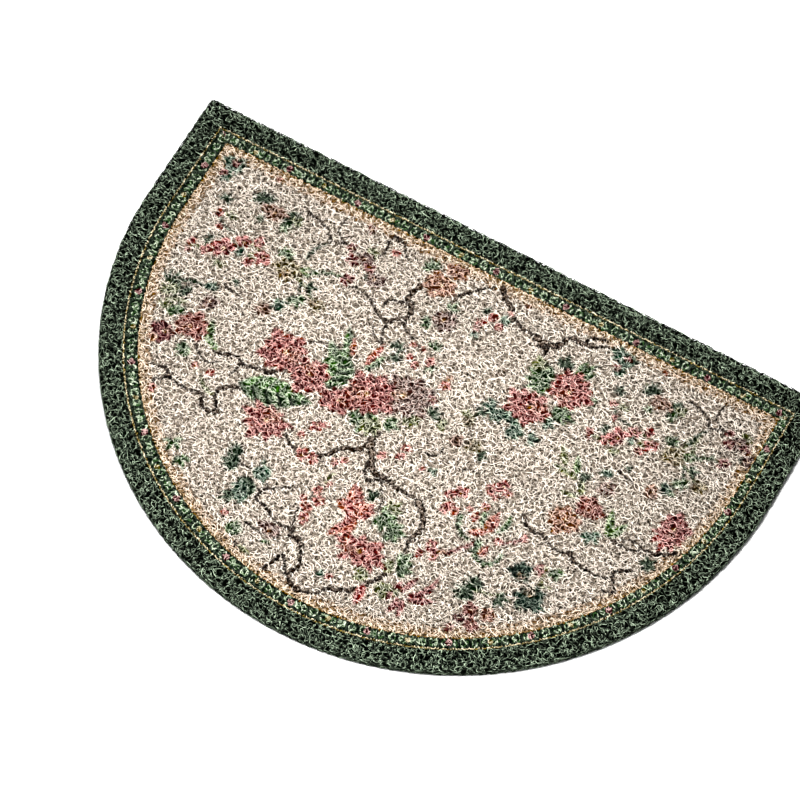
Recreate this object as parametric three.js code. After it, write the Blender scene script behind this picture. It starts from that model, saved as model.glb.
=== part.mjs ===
// Half-round doormat of looped filament, one piece, lying flat.
// Millimetres. +X runs along the straight edge, +Y points to it, +Z is up.
// The origin is the middle of the underside.
import * as THREE from 'three';

// Overall size
const matWidth = 900; // along the straight edge
const sideLength = 160; // straight run of each side, from the straight edge to the half circle
const matThickness = 12;
const cornerRadius = 6; // at both ends of the straight edge
const rimRound = 2; // rounding of the trimmed rim, above and below

// How finely the rim is stepped
const rimStep = 12; // along the straight runs and the half circle
const cornerSteps = 4;
const roundSteps = 3;

// The rim is cut from a roll of loops, so it wanders a little.
// Each row is one wave around the whole rim.
const rimWaves = [
  { count: 5, height: 0.6, phase: 0.4 },
  { count: 11, height: 0.4, phase: 2.1 },
  { count: 29, height: 0.3, phase: 1.0 },
];

const fieldColor = 0xcdbfae;

// The plan: a straight edge, two short straight sides and a half circle.
const halfWidth = matWidth / 2;
const arcRadius = halfWidth;
const matDepth = sideLength + arcRadius;
const straightEdgeY = matDepth / 2;
const arcCentreY = straightEdgeY - sideLength;

function line(x0, y0, x1, y1) {
  return new THREE.LineCurve(new THREE.Vector2(x0, y0), new THREE.Vector2(x1, y1));
}

function arc(centreX, centreY, radius, startTurn, endTurn) {
  return new THREE.EllipseCurve(
    centreX, centreY, radius, radius,
    startTurn * 2 * Math.PI, endTurn * 2 * Math.PI,
  );
}

// The rim's runs in order, anticlockwise from the right end of the straight edge.
function rimRuns() {
  const cornerX = halfWidth - cornerRadius;
  const cornerY = straightEdgeY - cornerRadius;
  return [
    { curve: line(cornerX, straightEdgeY, -cornerX, straightEdgeY) },
    { curve: arc(-cornerX, cornerY, cornerRadius, 0.25, 0.5), steps: cornerSteps },
    { curve: line(-halfWidth, cornerY, -halfWidth, arcCentreY) },
    { curve: arc(0, arcCentreY, arcRadius, 0.5, 1) },
    { curve: line(halfWidth, arcCentreY, halfWidth, cornerY) },
    { curve: arc(cornerX, cornerY, cornerRadius, 0, 0.25), steps: cornerSteps },
  ];
}

// How far the rim lies inside its nominal line, at a share 0 to 1 of the way round.
// It is never negative, so the mat doesn't grow past its nominal size.
function rimWander(share) {
  let inset = 0;
  for (const wave of rimWaves) {
    inset += wave.height * (1 + Math.sin(2 * Math.PI * wave.count * share + wave.phase)) / 2;
  }
  return inset;
}

// Points along every run, each moved inwards by the wander at that place.
function rimPoints() {
  const runs = rimRuns();
  const perimeter = runs.reduce((sum, run) => sum + run.curve.getLength(), 0);
  const points = [];
  let before = 0;
  for (const run of runs) {
    const length = run.curve.getLength();
    const steps = run.steps ?? Math.round(length / rimStep);
    for (let i = 0; i < steps; i += 1) {
      const point = run.curve.getPointAt(i / steps);
      const tangent = run.curve.getTangentAt(i / steps);
      const inwards = new THREE.Vector2(-tangent.y, tangent.x);
      const inset = rimWander((before + length * i / steps) / perimeter);
      points.push(point.addScaledVector(inwards, inset));
    }
    before += length;
  }
  return points;
}

// The whole mat is one slab with this rim, flat above and below.
function matGeometry() {
  const slab = new THREE.ExtrudeGeometry(new THREE.Shape(rimPoints()), {
    depth: matThickness - 2 * rimRound,
    bevelEnabled: true,
    bevelThickness: rimRound,
    bevelSize: rimRound,
    bevelOffset: -rimRound,
    bevelSegments: roundSteps,
  });
  slab.computeBoundingBox();
  const middle = slab.boundingBox.getCenter(new THREE.Vector3());
  slab.translate(-middle.x, -middle.y, -slab.boundingBox.min.z);
  return slab;
}

function makeMat() {
  const material = new THREE.MeshStandardMaterial({
    color: fieldColor,
    roughness: 0.6,
    metalness: 0,
  });
  const mat = new THREE.Mesh(matGeometry(), material);
  mat.name = 'mat';
  return mat;
}

const doormat = new THREE.Group();
doormat.add(makeMat());

export default doormat;
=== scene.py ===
import math

import bpy
import numpy as np
from mathutils import Matrix, Vector


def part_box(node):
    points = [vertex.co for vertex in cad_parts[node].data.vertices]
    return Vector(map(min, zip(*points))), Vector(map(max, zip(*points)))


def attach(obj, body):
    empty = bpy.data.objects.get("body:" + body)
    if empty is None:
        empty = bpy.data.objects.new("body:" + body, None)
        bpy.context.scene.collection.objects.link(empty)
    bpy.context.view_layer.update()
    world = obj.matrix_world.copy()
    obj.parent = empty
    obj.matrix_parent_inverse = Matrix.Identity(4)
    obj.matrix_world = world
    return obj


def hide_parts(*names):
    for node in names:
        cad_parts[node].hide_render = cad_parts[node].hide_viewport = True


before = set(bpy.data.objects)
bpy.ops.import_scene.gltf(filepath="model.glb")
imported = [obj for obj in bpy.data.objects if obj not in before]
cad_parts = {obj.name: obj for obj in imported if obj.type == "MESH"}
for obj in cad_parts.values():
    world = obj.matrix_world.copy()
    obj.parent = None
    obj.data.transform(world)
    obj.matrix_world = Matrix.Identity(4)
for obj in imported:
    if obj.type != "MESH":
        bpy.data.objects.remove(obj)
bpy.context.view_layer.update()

mm = 0.001

# The plan comes from the frame: a straight edge, two short sides and a half circle.
lowCorner, highCorner = (np.array(corner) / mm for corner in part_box("mat"))
halfWidth = (highCorner[0] - lowCorner[0]) / 2
straightY = highCorner[1]
arcY = lowCorner[1] + halfWidth  # the middle of the half circle
topZ = highCorner[2]
print(f"frame loaded, mat {2 * halfWidth:.1f} by {straightY - lowCorner[1]:.1f} by {topZ:.1f} mm")


# Plan measures

def rimDepth(x, y):
    # distance inside the rim: from the half circle below its middle, else from the nearest straight edge
    onArc = halfWidth - np.hypot(x, y - arcY)
    onStraight = np.minimum(halfWidth - np.abs(x), straightY - y)
    return np.where(y < arcY, onArc, onStraight)


def fieldDepth(x, y):
    # the same for the printed field, which isn't quite in the mat's middle
    return rimDepth(x - band["shiftX"], y - band["shiftY"])


def rimRun(x, y):
    # run along the patterned band, counted from a flower: x along the straight edge, and round the
    # sides and the half circle the length of the band's middle line from the right corner
    inner = halfWidth - band["middle"]
    side = straightY - band["middle"] - arcY
    turned = np.arctan2(arcY - y, x)
    onArc = side + inner * turned
    onRight = straightY - band["middle"] - y
    onLeft = side + math.pi * inner + y - arcY
    roundRun = np.where(y < arcY, onArc, np.where(x > 0, onRight, onLeft))
    alongTop = (straightY - y < halfWidth - np.abs(x)) & (y > arcY)
    return np.where(alongTop, x - band["topStart"], roundRun - band["roundStart"])


# Printed border, from the rim inwards
band = {
    "greenEnd": 31.0,  # plain dark green up to here
    "lineEnd": 32.7,  # thin gold line
    "bandEnd": 47.8,  # patterned green band
    "edgeEnd": 49.6,  # gold edge of the field
    "middle": 41.0,  # middle line of the patterned band
    "pitch": 101.4,  # from one red flower to the next
    "rings": 8,  # light rings in each repeat
    "topStart": -309.0,  # a flower on the straight edge
    "roundStart": 52.0,  # the first flower after the right corner
    "peachEnd": 64.0,  # the peach tint fades out here
    "peachTint": 0.55,  # share of the tint at the field's edge
    "tintWave": 9,  # length of its lighter and darker places
    "scroll": 61.5,  # the broken golden scroll inside the field's edge
    "curl": 56.0,  # the fainter one beside it
    "shiftX": 2.9,  # the field is printed this far to the right of the mat's middle
    "shiftY": -0.2,
}

# Inks as screen colours: dark, middle and light
inks = {
    "red": ((86, 2, 8), (220, 38, 44), (255, 152, 116)),
    "coral": ((102, 4, 10), (222, 46, 50), (255, 150, 124)),
    "brick": ((94, 8, 6), (206, 54, 28), (248, 150, 84)),
    "rose": ((92, 2, 12), (214, 40, 54), (250, 136, 128)),
    "plum": ((62, 4, 14), (156, 28, 44), (218, 94, 98)),
    "mauve": ((48, 22, 24), (164, 116, 108), (236, 204, 194)),
    "orange": ((126, 30, 12), (216, 122, 50), (250, 208, 126)),
    "brown": ((68, 26, 8), (184, 98, 46), (234, 164, 100)),
    "olive": ((70, 54, 12), (164, 136, 50), (218, 194, 106)),
    "leaf": ((2, 14, 2), (48, 94, 44), (134, 184, 114)),
    "lime": ((8, 30, 2), (66, 124, 40), (152, 200, 106)),
    "teal": ((0, 22, 16), (26, 88, 64), (108, 170, 132)),
    "pine": ((0, 12, 6), (18, 54, 28), (84, 130, 84)),
    "moss": ((26, 34, 6), (100, 114, 36), (170, 180, 92)),
    "bark": ((24, 8, 0), (92, 50, 20), (186, 130, 74)),
    "gold": ((150, 98, 56), (214, 164, 112), (242, 214, 170)),
    "cream": ((194, 178, 162), (218, 204, 190), (240, 228, 214)),
}


def linear(colour):
    # screen colour 0 to 255 as linear light
    share = np.asarray(colour, float) / 255
    return np.where(share <= 0.04045, share / 12.92, ((share + 0.055) / 1.055) ** 2.4)


def shade(ink, tone):
    # the ink's colour at tone 0 to 1: dark to middle to light, each half blended evenly
    dark, middle, light = (linear(colour) for colour in inks[ink])
    tone = np.clip(tone, 0, 1)[..., None]
    lower = dark + (middle - dark) * tone * 2
    upper = middle + (light - middle) * (tone * 2 - 1)
    return np.where(tone < 0.5, lower, upper)


def soft(inside, width=1.2):
    # 0 outside to 1 inside, with an edge of that width
    return np.clip(0.5 + inside / width, 0, 1)


# The print is worked out on an even grid over the mat and then read at each point of the loops.
# Its last value is the depth inside the nearest brown stem, below 0 outside, so that thin stems stay sharp.
printStep = 0.75
noStem = -5.0
gridX = np.arange(-halfWidth, halfWidth + printStep, printStep)
gridY = np.arange(lowCorner[1], straightY + printStep, printStep)
printed = np.full((len(gridY), len(gridX), 4), noStem)


def window(low, high):
    # the rows and columns of the grid between two corners
    columns = slice(*np.searchsorted(gridX, (low[0], high[0])))
    rows = slice(*np.searchsorted(gridY, (low[1], high[1])))
    return rows, columns


def around(x, y, reach):
    # the part of the grid within reach of x, y, with offsets from that point
    rows, columns = window((x - reach, y - reach), (x + reach, y + reach))
    dx, dy = np.meshgrid(gridX[columns] - x, gridY[rows] - y)
    return printed[rows, columns], dx, dy


def lay(part, cover, colour):
    # new colour over old, in place, by the share that is covered, which also hides the stems there
    part[..., :3] += (colour - part[..., :3]) * cover[..., None]
    part[..., 3] += (noStem - part[..., 3]) * cover


# How flowers and leaves are shaded
petal = {
    "rows": ((1, 0), (0.75, 1), (0.52, 2)),  # share of the radius, and how many petals fewer
    "heartRow": (0.3, 5),  # the same for the inmost row, and its petals
    "uneven": 0.12,  # how unlike in length the petals are
    "seam": 0.84,  # where across a petal its dark seam starts
    "outline": 1.2,
    "shaded": 0.26,  # share of the size over which a petal darkens from its edge
    "glow": 0.6,  # orange glow on the side away from the lean
}
veined = {
    "tone": 0.55,
    "fold": 0.14,  # one half lighter, the other darker
    "dark": 0.4,  # on the veins
    "light": 0.24,  # beside them
    "midrib": 0.6,
}


def bloom(x, y, size, ink, petals=9, squash=1.0, turn=0, lean=0.12, notch=0.3):
    # four rows of petals round a heart: the angle gives each petal its number and a place, 0 on its middle
    # line and 1 at its sides; its outline is the row's radius times one less the notch times the place to
    # the power 1.6 less the notch, longer or shorter by a sine of its number, and longer on the side it
    # leans to; its tone falls evenly from the edge inwards, and is lower at its seams, outline and tip
    part, dx, dy = around(x, y, size * 1.3)
    dy = dy / squash
    turn = math.radians(turn)
    angle = np.arctan2(dy, dx)
    reach = np.hypot(dx, dy)
    leaned = size * (1 + lean * np.cos(angle - turn))
    glow = np.hypot(dx + 0.36 * size * math.cos(turn), dy + 0.36 * size * math.sin(turn))
    glow = petal["glow"] * np.clip(1.1 - glow / (0.45 * size), 0, 1)
    rows = [(share, petals - fewer) for share, fewer in petal["rows"]]
    for row, (share, count) in enumerate([*rows, petal["heartRow"]]):
        spot = count * angle / (2 * math.pi) + row * 0.5 + 0.13 * x
        number = np.floor(spot) % count
        place = np.abs(2 * (spot % 1) - 1)
        longer = 1 + petal["uneven"] * np.sin(2.4 * number + x + row)
        inside = leaned * share * longer * (1 - notch * place ** (1.6 - notch)) - reach
        tone = 0.9 - 0.75 * np.clip(inside / (size * petal["shaded"]), 0, 1) + 0.12 * np.cos(5 * place)
        tone = tone - 0.5 * (place > petal["seam"]) - 0.55 * (inside < petal["outline"])
        tone = tone - 0.6 * (inside < size * 0.16) * (place < 0.3)
        colour = shade(ink, tone)
        colour += (shade("orange", tone) - colour) * (glow * (tone > 0.2))[..., None]
        lay(part, soft(inside), colour)
    lay(part, soft(size * 0.1 - reach), shade("gold", np.full_like(reach, 0.6)))


def starFlower(x, y, size, ink, petals=8, squash=1.0, turn=0):
    # the same with deep notches, so that the petals end in points
    bloom(x, y, size, ink, petals, squash, turn, 0.1, 0.5)


def leaf(x, y, length, width, turn, ink, bend=0.0, veins=6):
    # a pointed oval from its base at x, y: the half width is the sine of pi times along to the 0.8, and the
    # middle line is pushed aside by bend times 4 along (1 - along)
    part, dx, dy = around(x, y, length * 1.1 + width)
    turn = math.radians(turn)
    along = (dx * math.cos(turn) + dy * math.sin(turn)) / length
    across = dy * math.cos(turn) - dx * math.sin(turn)
    across = across - bend * length * 4 * along * (1 - along)
    run = np.clip(along, 0, 1)
    half = width / 2 * np.sin(math.pi * run ** 0.8)
    vein = (run * veins - np.abs(across) / width * 1.6) % 1
    tone = veined["tone"] + veined["fold"] * np.sign(across) + veined["light"] * (vein > 0.6)
    tone = tone - veined["dark"] * (vein < 0.26) - veined["dark"] * (np.abs(across) < veined["midrib"])
    lay(part, soft(half - np.abs(across)) * (along > 0) * (along < 1), shade(ink, tone))


def fan(x, y, length, width, turn, ink, count=5, spread=120):
    # petals or leaves of one shape, fanned evenly over the spread about turn, the middle one longest
    for number in range(count):
        share = number / max(count - 1, 1) - 0.5
        leaf(x, y, length * (1 - 0.45 * abs(share)), width, turn + spread * share, ink, bend=0.12 * share)


def blossom(x, y, size, ink, petals=5):
    # round petals about a golden heart: the outline is the size times 0.6 plus 0.4 times the absolute
    # cosine of half the petal count times the angle, pushed to one side by a sine of the angle
    part, dx, dy = around(x, y, size * 1.4)
    angle = np.arctan2(dy, dx) + 0.7 * x
    reach = np.hypot(dx, dy)
    scallop = np.abs(np.cos(petals / 2 * angle))
    pushed = 1 + 0.2 * np.sin(angle) + 0.12 * np.sin(2 * angle + y)
    inside = size * (0.6 + 0.4 * scallop) * pushed - reach
    lay(part, soft(inside), shade(ink, 0.08 + 0.5 * reach / size - 0.3 * (scallop < 0.3)))
    lay(part, soft(size * 0.2 - reach), shade("gold", np.full_like(reach, 0.6)))


def smoothPath(points, steps=12):
    # a curve through all the points: between two of them the cubic whose slopes are half the way from the
    # point before to the point after
    points = np.array(points, float)
    padded = np.vstack([2 * points[0] - points[1], points, 2 * points[-1] - points[-2]])
    before, start, end, after = (padded[i:len(padded) - 3 + i, None] for i in range(4))
    share = np.linspace(0, 1, steps, endpoint=False)[None, :, None]
    curve = (
        start
        + share * (end - before) / 2
        + share ** 2 * (before - 2.5 * start + 2 * end - after / 2)
        + share ** 3 * (1.5 * (start - end) + (after - before) / 2)
    )
    return np.vstack([curve.reshape(-1, 2), points[-1:]])


def branch(points, width, ink="bark", tip=0.45, knot=11.0):
    # a knotted stem on a smooth path: the half width falls evenly to the tip's share, and swells by a sine
    # of the run with the knot's spacing; each grid point takes the nearest piece of the path
    path = smoothPath(points)
    order = np.arange(len(path))
    path = path + 0.8 * np.column_stack([np.sin(order * 0.9), np.sin(order * 0.63 + 1)])
    rows, columns = window(path.min(0) - width - 2, path.max(0) + width + 2)
    placeX, placeY = np.meshgrid(gridX[columns], gridY[rows])
    nearest = np.full(placeX.shape, np.inf)
    run = np.zeros(placeX.shape)
    step = np.diff(path, axis=0)
    length = np.hypot(*step.T)
    before = np.concatenate([[0], np.cumsum(length)])
    for (startX, startY), (stepX, stepY), size, done in zip(path, step, length, before):
        share = ((placeX - startX) * stepX + (placeY - startY) * stepY) / size ** 2
        share = np.clip(share, 0, 1)
        distance = np.hypot(placeX - startX - share * stepX, placeY - startY - share * stepY)
        closer = distance < nearest
        nearest = np.where(closer, distance, nearest)
        run = np.where(closer, done + share * size, run)
    wave = 2 * math.pi * run / knot
    swell = 1 + 0.3 * np.sin(wave) + 0.15 * np.sin(2.3 * wave + 1)
    half = (width / 2 + 0.6) * (1 - (1 - tip) * run / before[-1]) * swell
    half = np.maximum(half, min(1.5, 0.55 * width))
    part = printed[rows, columns]
    if ink == "bark":
        part[..., 3] = np.maximum(part[..., 3], half - nearest)
    else:
        tone = 0.42 + 0.3 * np.sin(2 * math.pi * run / 9.1)
        lay(part, soft(half + 0.4 - nearest, 1.0), shade(ink, tone))


def spray(x, y, length, turn, ink, leaves=7, leafLength=9, bend=0.1, width=0.36):
    # a bent stem with a leaf on each side in turn, and one at the tip
    turned = math.radians(turn)
    ahead = np.array([math.cos(turned), math.sin(turned)])
    aside = np.array([-ahead[1], ahead[0]])
    share = np.linspace(0, 1, leaves + 1)[:, None]
    stem = np.array([x, y]) + length * (share * ahead + 4 * bend * share * (1 - share) * aside)
    branch(stem, 1.6, ink, tip=0.6)
    for number in range(1, leaves):
        side = 1 if number % 2 else -1
        size = leafLength * (1 - 0.3 * number / leaves)
        leaf(*stem[number], size, size * width, turn + side * 48, ink, bend=0.08 * side, veins=3)
    leaf(*stem[-1], leafLength * 0.8, leafLength * width * 0.8, turn - 60 * bend, ink, veins=3)


# The field's ground and its peach edge
def printGround():
    # cream, with a peach tint that falls evenly with the depth past the field's edge, and two golden
    # scrolls whose depths sway by sines of the run, the inner one broken by another sine
    x, y = np.meshgrid(gridX, gridY)
    depth = fieldDepth(x, y)
    run, pitch = rimRun(x, y), band["pitch"]

    def wave(length, start=0.0):
        return np.sin(2 * math.pi * run / length + start)

    printed[..., :3] = shade("cream", np.full_like(depth, 0.5))
    fade = np.clip((band["peachEnd"] - depth) / (band["peachEnd"] - band["edgeEnd"]), 0, 1)
    lay(printed, band["peachTint"] * fade, shade("gold", 0.72 + 0.14 * wave(band["tintWave"])))
    sway = band["scroll"] + 1.6 * wave(pitch / 4)
    broken = wave(pitch / 12) > -0.5
    lay(printed, soft(1.1 - np.abs(depth - sway)) * broken, shade("gold", np.full_like(depth, 0.22)))
    curl = band["curl"] + 2.6 * wave(pitch / 8, 1.2)
    lay(printed, 0.8 * soft(1.0 - np.abs(depth - curl)), shade("gold", np.full_like(depth, 0.26)))


# What the field shows, in like places, colours and sizes; each shape is drawn by its own formula.
# A row's columns are named above its table; a value left out at its end is the shape's own.
stemColumns = ("width", "points", "ink")  # bark where a row names no ink
stems = [
    (7, [(-79, 198), (-83, 176), (-72, 164), (-72, 149), (-86, 138), (-89, 122), (-83, 104)]),
    (3.6, [(-72, 140), (-57, 131), (-46, 126), (-30, 118)]),
    (3.8, [(-90, 131), (-106, 136), (-117, 144), (-128, 151), (-146, 156), (-159, 151)]),
    (3.2, [(-85, 166), (-98, 163), (-105, 160), (-105, 150)]),
    (4.8, [(-32, 191), (-30, 207), (-20, 220), (-8, 233), (5, 244)]),
    (6.5, [(14, 246), (24, 236), (40, 226), (48, 217), (58, 211), (70, 209), (86, 207)]),
    (6.5, [(84, 207), (92, 202), (104, 195), (104, 181)]),
    (7, [(86, 206), (100, 205), (112, 207), (117, 215), (124, 228), (140, 228), (147, 241), (167, 247)]),
    (4.8, [(134, 226), (148, 228), (156, 230), (164, 237), (178, 240)]),
    (3.2, [(-132, 243), (-143, 244), (-145, 236), (-142, 218), (-150, 207), (-163, 202), (-181, 198)]),
    (3.2, [(-137, 244), (-125, 240), (-117, 227), (-105, 222)]),
    (2.8, [(-84, 100), (-96, 108), (-104, 120)]),
    (9, [(-25, -10), (-25, -22), (-24, -34)]),
    (7, [(-25, -30), (-34, -43), (-48, -49), (-57, -57), (-63, -68), (-74, -74), (-92, -80)]),
    (4.8, [(-90, -79), (-108, -80), (-117, -72), (-127, -65)]),
    (8.5, [(-23, -28), (-14, -41), (-6, -54), (6, -61), (22, -62), (41, -65), (60, -67), (69, -69)]),
    (7.5, [(68, -69), (77, -76), (88, -91), (89, -104), (84, -116), (87, -131), (90, -144)]),
    (3.6, [(-14, -54), (-6, -72), (4, -70), (12, -66), (20, -76), (28, -90), (31, -106)]),
    (6.5, [(88, -142), (84, -158), (79, -176), (73, -189), (67, -198)]),
    (5.5, [(68, -197), (57, -211), (40, -222), (28, -227), (19, -239), (8, -244), (-3, -246)]),
    (5.5, [(-2, -246), (-14, -243), (-22, -234), (-20, -224), (-17, -216), (-23, -204), (-30, -190)]),
    (4.4, [(-29, -192), (-37, -185), (-46, -187), (-52, -179), (-66, -180), (-77, -178), (-88, -171)]),
    (3.2, [(-86, -172), (-97, -167), (-110, -164), (-108, -151), (-101, -144), (-86, -133), (-77, -130)]),
    (2.6, [(-128, -149), (-118, -152), (-106, -147)]),
    (2.6, [(-163, -131), (-140, -132), (-122, -130), (-113, -138), (-102, -144)]),
    (2.4, [(-48, -179), (-55, -164), (-57, -150), (-52, -130), (-44, -104)]),
    (4.2, [(-53, -242), (-48, -226), (-43, -214), (-37, -218), (-32, -229), (-22, -237)]),
    (2.6, [(-105, -199), (-80, -201), (-57, -200)]),
    (3.0, [(-103, -229), (-92, -232), (-81, -232)]),
    (6, [(-200, -39), (-214, -45), (-226, -54), (-227, -66), (-218, -78), (-215, -88)]),
    (4.8, [(-212, -85), (-229, -89), (-238, -80), (-242, -72), (-265, -75), (-280, -74), (-292, -70)]),
    (4.2, [(-290, -71), (-300, -63), (-308, -64), (-322, -68)]),
    (2.8, [(-292, -70), (-296, -78), (-305, -82), (-302, -92)]),
    (4.2, [(-163, 8), (-170, 10), (-181, -1), (-203, -7), (-214, -10), (-223, -9), (-230, -4), (-243, -8)]),
    (4.0, [(-242, -8), (-254, -13), (-268, -9)]),
    (3.4, [(-181, -1), (-188, -10), (-194, -21)]),
    (2.8, [(-222, -8), (-222, -20), (-226, -32)]),
    (2.8, [(-284, -16), (-272, -26), (-258, -30), (-246, -22)]),
    (4.0, [(190, -20), (210, -34), (222, -32), (235, -37), (245, -41), (257, -40), (265, -36)]),
    (4.0, [(264, -36), (272, -42), (285, -46), (305, -47), (320, -44), (327, -37)]),
    (3.6, [(342, -20), (328, -28), (325, -37), (333, -48), (337, -57), (322, -61)]),
    (4.4, [(378, 28), (362, 17), (344, 13), (324, 17), (311, 12)]),
    (3.2, [(302, 5), (320, 4), (340, 8)]),
    (2.4, [(-161, 59), (-147, 66), (-132, 70), (-120, 72), (-110, 74)]),
    (2.4, [(42, -5), (54, -3), (60, 8), (56, 14)]),
    (2.4, [(94, -2), (104, 4), (114, 1)]),
    (2.2, [(66, 60), (76, 50), (88, 38)]),
    (2.2, [(-44, -104), (-46, -94), (-41, -86)], "moss"),
    (2.2, [(178, -139), (198, -136), (220, -128)], "moss"),
    (2.2, [(248, -70), (251, -84), (256, -93), (269, -89)], "moss"),
    (3.4, [(156, -82), (144, -98), (133, -111), (124, -113), (113, -119)], "plum"),
    (3.0, [(207, -48), (193, -61), (180, -68)], "plum"),
    (5.5, [(122, -60), (127, -71), (136, -80), (146, -82)], "leaf"),
    (7, [(159, -80), (161, -92), (168, -100), (180, -101), (190, -94), (193, -82)], "leaf"),
]

fanColumns = ("x", "y", "length", "width", "turn", "ink", "count", "spread")
fans = [
    (-360, 44, 26, 5, 75, "pine"),
    (-350, 30, 24, 6, 120, "moss", 5, 110),
    (-328, 8, 24, 7, 122, "leaf", 4, 90),
    (-346, 8, 22, 5, 100, "moss", 3, 70),
    (-290, -22, 24, 9, -125, "leaf", 4, 70),
    (-77, 226, 20, 7, 120, "leaf", 5, 140),
    (-28, 186, 18, 6, 80, "leaf", 3, 90),
    (-42, 160, 18, 6, 215, "leaf", 4, 100),
    (-21, 128, 16, 6, 75, "leaf", 4),
    (-61, 104, 18, 6, 90, "pine", 4),
    (-54, 86, 26, 6, 100, "pine", 3, 60),
    (-14, 104, 14, 5, -40, "leaf", 3, 100),
    (22, 42, 24, 6, 60, "pine", 4, 90),
    (14, 204, 14, 7, 90, "pine", 3, 90),
    (34, 204, 18, 6, 30, "teal", 3, 70),
    (14, 178, 20, 5, -85, "teal", 2, 30),
    (0, 32, 24, 7, -50, "moss", 4, 90),
    (46, 40, 16, 5, 180, "moss", 4, 110),
    (102, 25, 16, 6, 30, "pine", 4, 160),
    (62, 66, 14, 5, 100, "moss", 3, 110),
    (190, 238, 18, 8, 170, "teal", 3, 110),
    (192, 234, 20, 8, 10, "teal", 4, 100),
    (196, 222, 16, 7, -70, "teal", 3, 70),
    (136, 184, 24, 11, 95, "pine", 3, 70),
    (156, 184, 34, 10, 58, "leaf", 3, 46),
    (132, 158, 40, 12, 180, "leaf", 6, 110),
    (112, 168, 24, 10, 120, "moss", 3, 60),
    (150, 128, 40, 10, -6, "leaf", 3, 40),
    (150, 108, 20, 7, -10, "teal", 3, 80),
    (88, 96, 22, 9, 200, "teal", 3, 80),
    (92, 92, 24, 10, -40, "teal", 4, 110),
    (110, 84, 22, 9, 60, "teal", 3, 60),
    (116, 80, 26, 10, -20, "teal", 4, 90),
    (144, 76, 18, 8, 20, "teal", 3, 90),
    (78, 84, 16, 7, -120, "pine", 3, 90),
    (186, 160, 16, 8, 0, "leaf", 2, 60),
    (-48, 10, 38, 12, -90, "leaf", 5, 100),
    (-42, 4, 32, 10, -60, "moss", 4, 70),
    (-24, 10, 26, 9, -10, "leaf", 3, 60),
    (62, -26, 12, 5, 60, "teal", 3),
    (-154, -118, 30, 5, 176, "pine", 4, 44),
    (-122, -117, 14, 5, 170, "pine", 2, 40),
    (-152, -134, 28, 8, 185, "pine", 5, 90),
    (-126, -122, 26, 15, -55, "teal", 3, 50),
    (-122, -146, 32, 10, 232, "pine", 5, 80),
    (-124, -162, 28, 9, 205, "teal", 5, 110),
    (-136, -172, 26, 6, 225, "pine", 3, 50),
    (-240, -146, 18, 7, -60, "leaf", 4, 190),
    (-222, -160, 22, 8, -50, "leaf", 3, 90),
    (-66, -194, 20, 5, 180, "mauve", 4),
    (-72, -206, 12, 5, -60, "leaf", 2, 60),
    (-112, -222, 24, 8, 95, "leaf", 5, 70),
    (20, -90, 18, 8, 160, "pine", 3, 90),
    (38, -106, 26, 10, 30, "leaf", 4, 100),
    (44, -98, 24, 8, 70, "moss", 3, 80),
    (40, -104, 30, 10, -60, "leaf", 4, 90),
    (56, -118, 26, 11, -20, "leaf", 4),
    (88, -158, 26, 10, 20, "leaf", 4, 100),
    (90, -152, 22, 10, 70, "leaf", 3, 80),
    (86, -162, 20, 9, 185, "moss", 3, 60),
    (64, -186, 28, 12, 195, "moss", 2, 30),
    (88, -184, 26, 13, -80, "moss", 3, 60),
    (12, -216, 12, 6, 100, "teal", 3, 110),
    (106, -192, 14, 5, 150, "moss", 3, 100),
    (196, -130, 34, 6, 178, "pine", 4, 40),
    (192, -148, 38, 7, 178, "pine", 4, 44),
    (214, -134, 22, 7, -10, "pine", 4, 110),
    (236, -128, 24, 6, 4, "pine", 3, 60),
    (260, -64, 20, 8, -60, "leaf", 3, 80),
    (248, -72, 14, 6, 200, "plum", 3, 80),
    (258, -118, 20, 7, -10, "teal", 3, 90),
    (274, 0, 20, 8, -60, "teal", 4, 140),
    (356, -3, 16, 7, 90, "pine", 6, 300),
    (360, 46, 30, 9, -95, "rose", 5, 150),
]

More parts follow.
